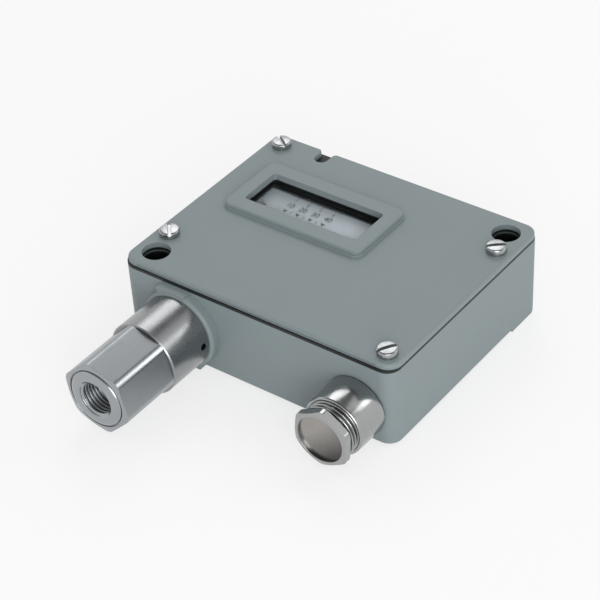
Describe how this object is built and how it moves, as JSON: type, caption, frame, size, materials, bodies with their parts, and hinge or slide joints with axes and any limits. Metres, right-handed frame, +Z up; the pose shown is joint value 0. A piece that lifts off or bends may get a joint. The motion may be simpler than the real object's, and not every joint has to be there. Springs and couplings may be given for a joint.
{
  "type": "piston pressure switch",
  "caption": "Pressure switch in a die-cast housing: threaded steel pressure port with hexagon, blanked cable gland, screwed cover with a scale window, piston and spring mechanism inside.",
  "frame": {"origin": "midway between the two fixing holes, at the level of the mounting pads", "axes": "+Z up out of the cover, -Y out of the front wall with the pressure port and the gland, +X from the port towards the gland"},
  "size_m": [0.11, 0.1356, 0.036],
  "materials": {
    "paint": "satin, fine die-cast texture",
    "steel": "turned",
    "zinc_steel": "zinc plated",
    "nickel": "nickel plated",
    "nickel_seat": "nickel plated, dull",
    "rubber": "matt",
    "clear": "clear",
    "scale": "satin, printed",
    "pointer": "matt",
    "brass": "turned",
    "phenolic": "moulded",
    "block": "moulded",
    "wire_black": "insulation",
    "wire_blue": "insulation",
    "wire_red": "insulation"
  },
  "bodies": {
    "frame": {"housing": "paint", "cover": "paint", "cover_gasket": "rubber", "cover_screws": "zinc_steel", "window_seal": "rubber", "window_pane": "clear", "sensor_sleeve": "steel", "sleeve_seal": "rubber", "port_body": "steel", "piston_seal": "rubber", "seal_backup_ring": "block", "gland_body": "nickel", "gland_gasket": "rubber", "gland_thrust_screw": "nickel", "gland_blanking_disc": "nickel_seat", "gland_seal_ring": "rubber", "gland_washer": "zinc_steel", "chassis": "zinc_steel", "chassis_screws": "zinc_steel", "scale_plate": "scale", "scale_screws": "zinc_steel", "range_spring": "steel", "lever_pin": "steel", "lever_clip": "steel", "microswitch_body": "phenolic", "microswitch_terminals": "brass", "microswitch_screws": "zinc_steel", "terminal_block": "block", "terminal_clamps": "brass", "terminal_screws": "zinc_steel", "terminal_block_screws": "zinc_steel", "earth_clamp": "zinc_steel", "earth_screw": "zinc_steel", "wire_common": "wire_black", "wire_normally_open": "wire_blue", "wire_normally_closed": "wire_red"},
    "plunger": {"microswitch_plunger": "block"},
    "lever": {"transfer_lever": "zinc_steel", "spring_seat": "steel"},
    "piston": {"piston": "steel", "push_rod": "steel"},
    "spindle": {"adjusting_spindle": "steel"},
    "nut": {"range_nut": "brass", "set_pointer": "pointer"}
  },
  "joints": [
    {"name": "piston_stroke", "type": "slide", "parent": "frame", "child": "piston", "axis": [0, 1, 0], "range_m": [0, 0.0012], "stiffness_N_per_m": 4000},
    {"name": "lever_turn", "type": "hinge", "parent": "frame", "child": "lever", "pos_m": [0.012, 0.027, 0.01535], "axis": [0, 0, -1], "range_deg": [0, 1.7], "deforming": ["range_spring"]},
    {"name": "plunger_stroke", "type": "slide", "parent": "frame", "child": "plunger", "axis": [0, -1, 0], "range_m": [0, 0.00045]},
    {"name": "spindle_turn", "type": "hinge", "parent": "frame", "child": "spindle", "pos_m": [-0.04, 0.012, 0.0223], "axis": [1, 0, 0], "range_deg": [0, 11170]},
    {"name": "range_travel", "type": "slide", "parent": "frame", "child": "nut", "axis": [1, 0, 0], "range_m": [0, 0.0248], "deforming": ["range_spring"]}
  ],
  "couplings": [
    {"joint": "lever_turn", "follows": "piston_stroke", "rad_per_m": 24.155},
    {"joint": "plunger_stroke", "follows": "piston_stroke", "ratio": 0.3502},
    {"joint": "spindle_turn", "follows": "range_travel", "rad_per_m": 7854.2}
  ]
}
